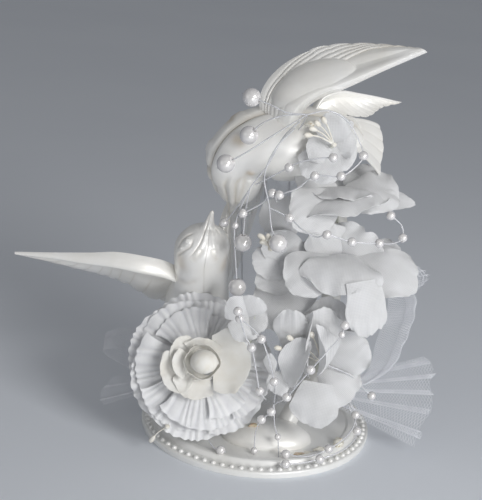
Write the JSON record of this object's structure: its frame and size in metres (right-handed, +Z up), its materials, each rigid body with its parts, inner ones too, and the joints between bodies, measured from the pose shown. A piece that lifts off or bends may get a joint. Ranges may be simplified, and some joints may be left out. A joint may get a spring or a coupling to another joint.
{
  "type": "wedding cake topper",
  "caption": "Round beaded base that carries moulded doves, dressed with fabric flowers, pearl sprays and gathered net.",
  "frame": {"origin": "centre of the base's underside, on the flat of its middle hub", "axes": "+Z up, +X to the viewer's right and +Y to the back, away from the viewer, seen from the front"},
  "size_m": [0.1964, 0.108, 0.1886],
  "materials": {
    "pearl_plastic": "moulded polystyrene with a soft pearl lacquer",
    "pearl": "coated plastic pearls, threaded on clear stiff line",
    "stem": "white plastic-covered wire with a moulded calyx",
    "thread": "stiffened cotton thread with glossy pearl drops at the tips",
    "foam": "covered foam ball",
    "satin": "pleated polyester satin with a soft sheen",
    "cream_fabric": "smooth heat-formed polyester, slightly cream",
    "petal_fabric": "fine plain weave, heat formed and stiffened",
    "netting": "open nylon net with a mesh of about 1 mm"
  },
  "bodies": {
    "root": {"base_plate": "pearl_plastic", "upper_dove_left_half": "pearl_plastic", "upper_dove_right_half": "pearl_plastic", "lower_dove_left_half": "pearl_plastic", "lower_dove_right_half": "pearl_plastic", "upper_dove_left_wing": "pearl_plastic", "upper_dove_right_wing": "pearl_plastic", "upper_dove_tail": "pearl_plastic", "lower_dove_right_wing": "pearl_plastic", "lower_dove_left_wing": "pearl_plastic", "lower_dove_tail": "pearl_plastic", "dove_stand": "pearl_plastic", "lower_dove_peg": "pearl_plastic", "spray_crown": "pearl", "spray_falls": "pearl", "spray_middle": "pearl", "spray_beak": "pearl", "spray_breast": "pearl", "spray_loop": "pearl", "spray_rose_left": "pearl", "spray_rose_right": "pearl", "spray_diagonal": "pearl", "spray_foot": "pearl", "spray_base_inner": "pearl", "spray_base_outer": "pearl", "spray_net": "pearl", "spray_left": "pearl", "rose_stem": "stem", "top_blossom_stem": "stem", "middle_blossom_stem": "stem", "lower_blossom_stem": "stem", "breast_blossom_stem": "stem", "small_blossom_stem": "stem", "breast_stamens": "thread", "middle_stamens": "thread", "lower_stamens": "thread", "left_stamen": "thread", "rose_bud": "foam", "rose_pleated_back": "satin", "rose_pleated_middle": "satin", "rose_pleated_front": "satin", "rose_cream_outer": "cream_fabric", "rose_cream_inner": "cream_fabric", "top_blossom_lower": "petal_fabric", "top_blossom_upper": "petal_fabric", "middle_blossom_back": "petal_fabric", "middle_blossom_front": "petal_fabric", "lower_blossom_back": "petal_fabric", "lower_blossom_front": "petal_fabric", "breast_blossom": "petal_fabric", "small_blossom": "petal_fabric", "net_right_fan": "netting", "net_right_loop": "netting", "net_right_tip": "netting", "net_left_loop": "netting", "net_left_tail": "netting", "net_veil": "netting"}
  },
  "joints": []
}
